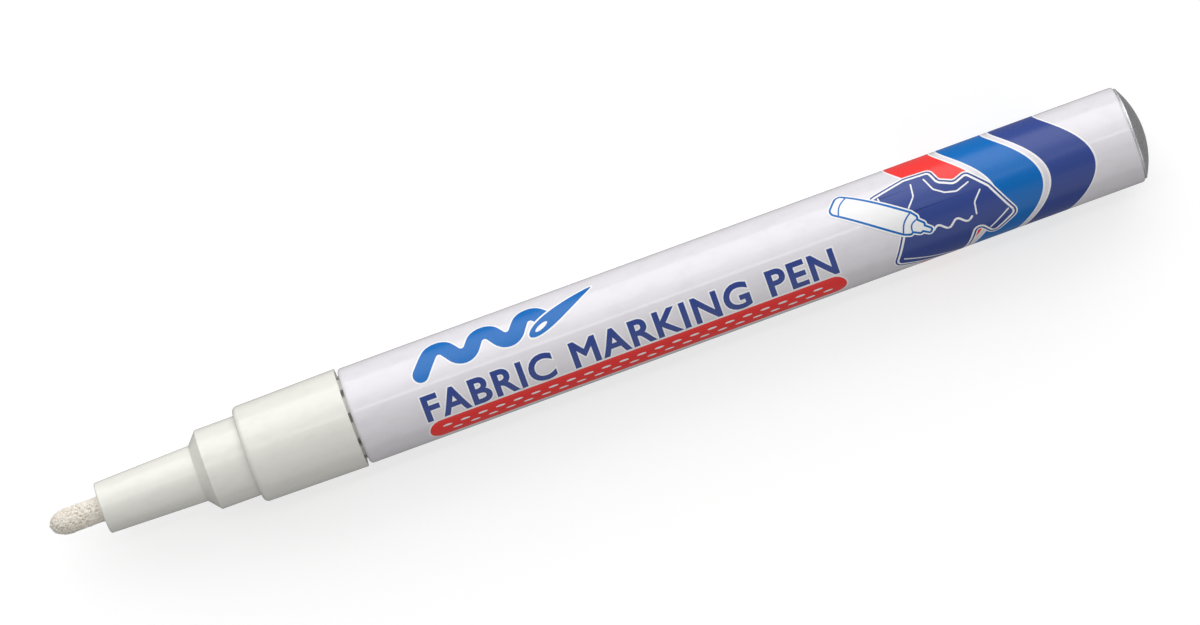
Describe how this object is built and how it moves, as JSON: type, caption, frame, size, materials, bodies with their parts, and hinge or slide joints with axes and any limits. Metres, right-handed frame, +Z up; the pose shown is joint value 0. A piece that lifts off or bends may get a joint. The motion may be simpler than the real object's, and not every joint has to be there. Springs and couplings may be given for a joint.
{
  "type": "fabric marking pen",
  "caption": "Slim valve-action fabric marking pen with its cap off: bullet nib, stepped plastic nose, wide collar and lacquered aluminium barrel with a domed base.",
  "frame": {"origin": "under the middle of the pen's length, on the surface that the pen lies on", "axes": "+X along the pen from the nib to the domed base, +Z up"},
  "size_m": [0.1276, 0.0114, 0.0113],
  "materials": {
    "lacquered_aluminium": "drawn aluminium under a glossy white lacquer with printed decoration; the domed base is left bare",
    "nose_plastic": "moulded white polypropylene, satin",
    "nib_fibre": "bonded polyester fibre, unused",
    "wick_fibre": "soft polyester fibre sleeve",
    "valve_plastic": "moulded natural polypropylene",
    "plunger_plastic": "moulded acetal",
    "seal_rubber": "black nitrile rubber",
    "spring_steel": "drawn stainless spring wire",
    "ball_steel": "polished stainless steel"
  },
  "bodies": {
    "pen_body": {"barrel": "lacquered_aluminium", "shoulder_collar": "nose_plastic", "nib_holder": "nose_plastic", "buffer_wick": "wick_fibre", "valve_seat": "valve_plastic", "valve_cage": "valve_plastic", "valve_spring": "spring_steel"},
    "nib_body": {"nib": "nib_fibre"},
    "plunger_body": {"valve_plunger": "plunger_plastic", "plunger_seal": "seal_rubber"},
    "ball_1_body": {"mixing_ball_1": "ball_steel"},
    "ball_2_body": {"mixing_ball_2": "ball_steel"}
  },
  "joints": [
    {"name": "nib_press", "type": "slide", "parent": "pen_body", "child": "nib_body", "axis": [1, 0, 0], "range_m": [0, 0.0014], "stiffness_N_per_m": 600, "springref_m": -0.0017},
    {"name": "plunger_lift", "type": "slide", "parent": "pen_body", "child": "plunger_body", "axis": [1, 0, 0], "range_m": [0, 0.0014], "deforming": ["valve_spring"]},
    {"name": "ball_1_roll", "type": "slide", "parent": "pen_body", "child": "ball_1_body", "axis": [-1, 0, 0], "range_m": [0, 0.0739]},
    {"name": "ball_2_roll", "type": "slide", "parent": "pen_body", "child": "ball_2_body", "axis": [-1, 0, 0], "range_m": [0, 0.0739]}
  ],
  "couplings": [
    {"joint": "plunger_lift", "follows": "nib_press", "ratio": 1},
    {"joint": "ball_1_roll", "follows": "ball_2_roll", "ratio": 1}
  ]
}
